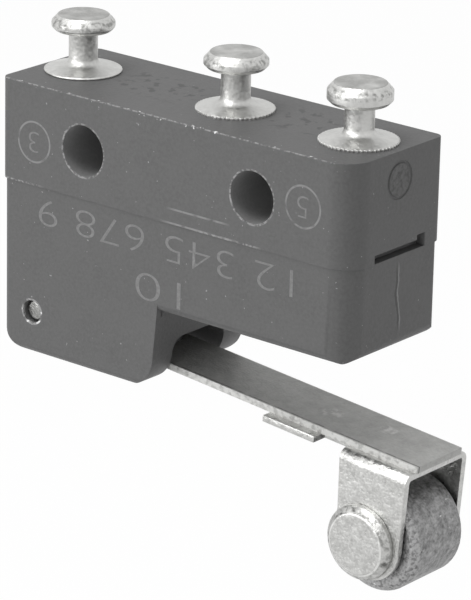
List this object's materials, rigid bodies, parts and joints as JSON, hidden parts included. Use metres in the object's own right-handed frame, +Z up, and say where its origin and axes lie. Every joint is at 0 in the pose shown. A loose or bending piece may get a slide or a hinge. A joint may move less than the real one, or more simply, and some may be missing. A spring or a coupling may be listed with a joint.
{
  "type": "lever micro switch",
  "caption": "Subminiature snap-action switch with turret terminals on top and a hinged lever below that carries a bracketed roller.",
  "frame": {"origin": "midway between the centres of the two mounting holes, at the middle of the housing's thickness", "axes": "+X along the housing's length, from the lever's pin towards its roller; +Y through the housing's thickness, along the mounting holes, away from the marked face; +Z up, from the lever towards the terminals"},
  "size_m": [0.0226, 0.0064, 0.0219],
  "materials": {
    "base_moulding": "dark grey thermosetting moulding, slightly glossy",
    "cover_moulding": "dark grey thermosetting moulding, slightly glossy",
    "tinned_terminal": "bright tin plate over turned brass",
    "contact_brass": "plain stamped brass",
    "spring_bronze": "rolled beryllium copper strip",
    "silver_contact": "satin silver alloy",
    "plunger_moulding": "off-white engineering plastic",
    "bright_steel": "bright plated steel",
    "lever_steel": "satin stainless strip",
    "roller_steel": "dull sintered steel"
  },
  "bodies": {
    "housing": {"base_housing": "base_moulding", "case_cover": "cover_moulding", "common_terminal": "tinned_terminal", "normally_open_terminal": "tinned_terminal", "normally_closed_terminal": "tinned_terminal", "common_anchor": "contact_brass", "normally_open_carrier": "contact_brass", "normally_open_contact": "silver_contact", "normally_closed_carrier": "contact_brass", "normally_closed_contact": "silver_contact", "lever_pin": "bright_steel"},
    "lever": {"lever_arm": "lever_steel", "roller_bracket": "lever_steel", "roller_rivet": "bright_steel"},
    "roller": {"roller": "roller_steel"},
    "plunger": {"plunger": "plunger_moulding"},
    "snap_blade": {"snap_blade": "spring_bronze", "moving_contact": "silver_contact"}
  },
  "joints": [
    {"name": "lever_hinge", "type": "hinge", "parent": "housing", "child": "lever", "pos_m": [-0.00778, 0, -0.00817], "axis": [0, -1, 0], "range_deg": [0, 7], "stiffness_Nm_per_rad": 0.03, "springref_deg": -5.73},
    {"name": "roller_spin", "type": "hinge", "parent": "lever", "child": "roller", "pos_m": [0.0107, 0, -0.01443], "axis": [0, 1, 0], "continuous": true},
    {"name": "plunger_slide", "type": "slide", "parent": "housing", "child": "plunger", "axis": [0, 0, 1], "range_m": [0, 0.00064]},
    {"name": "blade_hinge", "type": "hinge", "parent": "housing", "child": "snap_blade", "pos_m": [-0.00698, 0, -0.00432], "axis": [0, -1, 0], "range_deg": [0, 2.19]}
  ],
  "couplings": [
    {"joint": "plunger_slide", "follows": "lever_hinge", "m_per_rad": 0.005211},
    {"joint": "blade_hinge", "follows": "lever_hinge", "ratio": 0.31212}
  ]
}
